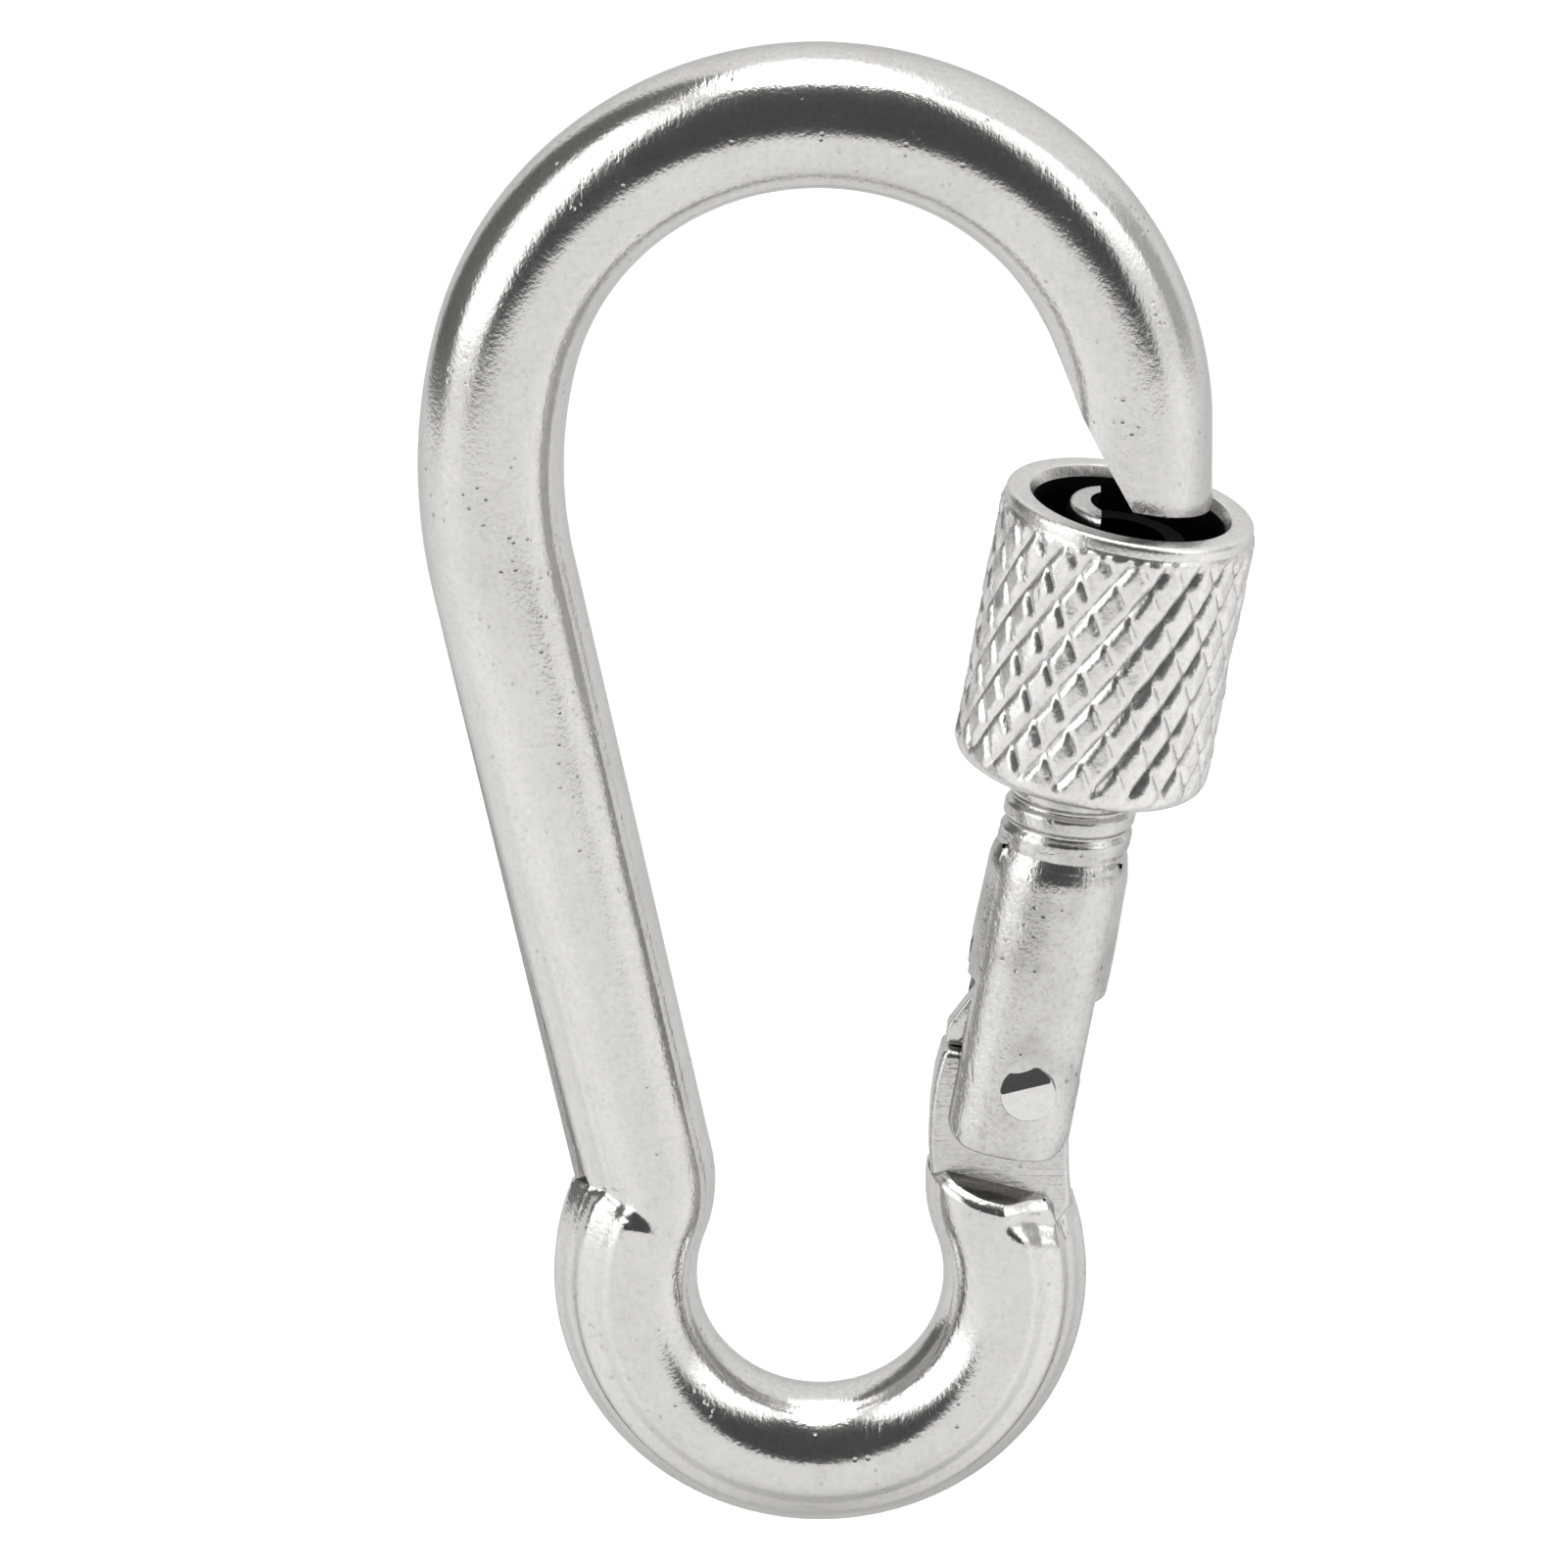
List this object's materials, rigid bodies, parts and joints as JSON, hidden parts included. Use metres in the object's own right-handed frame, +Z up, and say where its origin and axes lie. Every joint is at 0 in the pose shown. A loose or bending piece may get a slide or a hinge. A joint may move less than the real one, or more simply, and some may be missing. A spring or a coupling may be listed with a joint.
{
  "type": "snap hook keyring",
  "caption": "Pear-shaped round-wire snap hook with a wide bow, a small eye, a sprung gate that opens inwards and a knurled screw sleeve that locks it.",
  "frame": {"origin": "inside of the crown, where the hook hangs from its anchor", "axes": "+Z up along the length, +X towards the gate, -Y the front face"},
  "size_m": [0.0318, 0.0098, 0.06],
  "materials": {
    "body_steel": "tumbled and polished stainless steel with fine pits and scratches",
    "gate_steel": "satin turned stainless steel",
    "pin_steel": "bright flattened rivet end",
    "sleeve_steel": "bright knurled stainless steel with a smooth rim",
    "plunger_steel": "bright sheared steel",
    "spring_steel": "drawn spring wire"
  },
  "bodies": {
    "hook": {"hook_body": "body_steel"},
    "gate_arm": {"gate": "gate_steel", "hinge_pin": "pin_steel", "gate_spring": "spring_steel"},
    "sleeve": {"locking_sleeve": "sleeve_steel"},
    "plunger": {"spring_plunger": "plunger_steel"}
  },
  "joints": [
    {"name": "gate_swing", "type": "hinge", "parent": "hook", "child": "gate_arm", "pos_m": [0.00803, 0, -0.03575], "axis": [0, -1, 0], "range_deg": [0, 35], "stiffness_Nm_per_rad": 0.05, "springref_deg": -34.38},
    {"name": "sleeve_travel", "type": "slide", "parent": "gate_arm", "child": "sleeve", "axis": [0.1822, 0, 0.9833], "range_m": [-0.003, 0.0025]},
    {"name": "plunger_slide", "type": "slide", "parent": "gate_arm", "child": "plunger", "axis": [0.1822, 0, 0.9833], "range_m": [0, 0.002], "deforming": ["gate_spring"]}
  ],
  "couplings": [
    {"joint": "plunger_slide", "follows": "gate_swing", "m_per_rad": 0.0032}
  ]
}
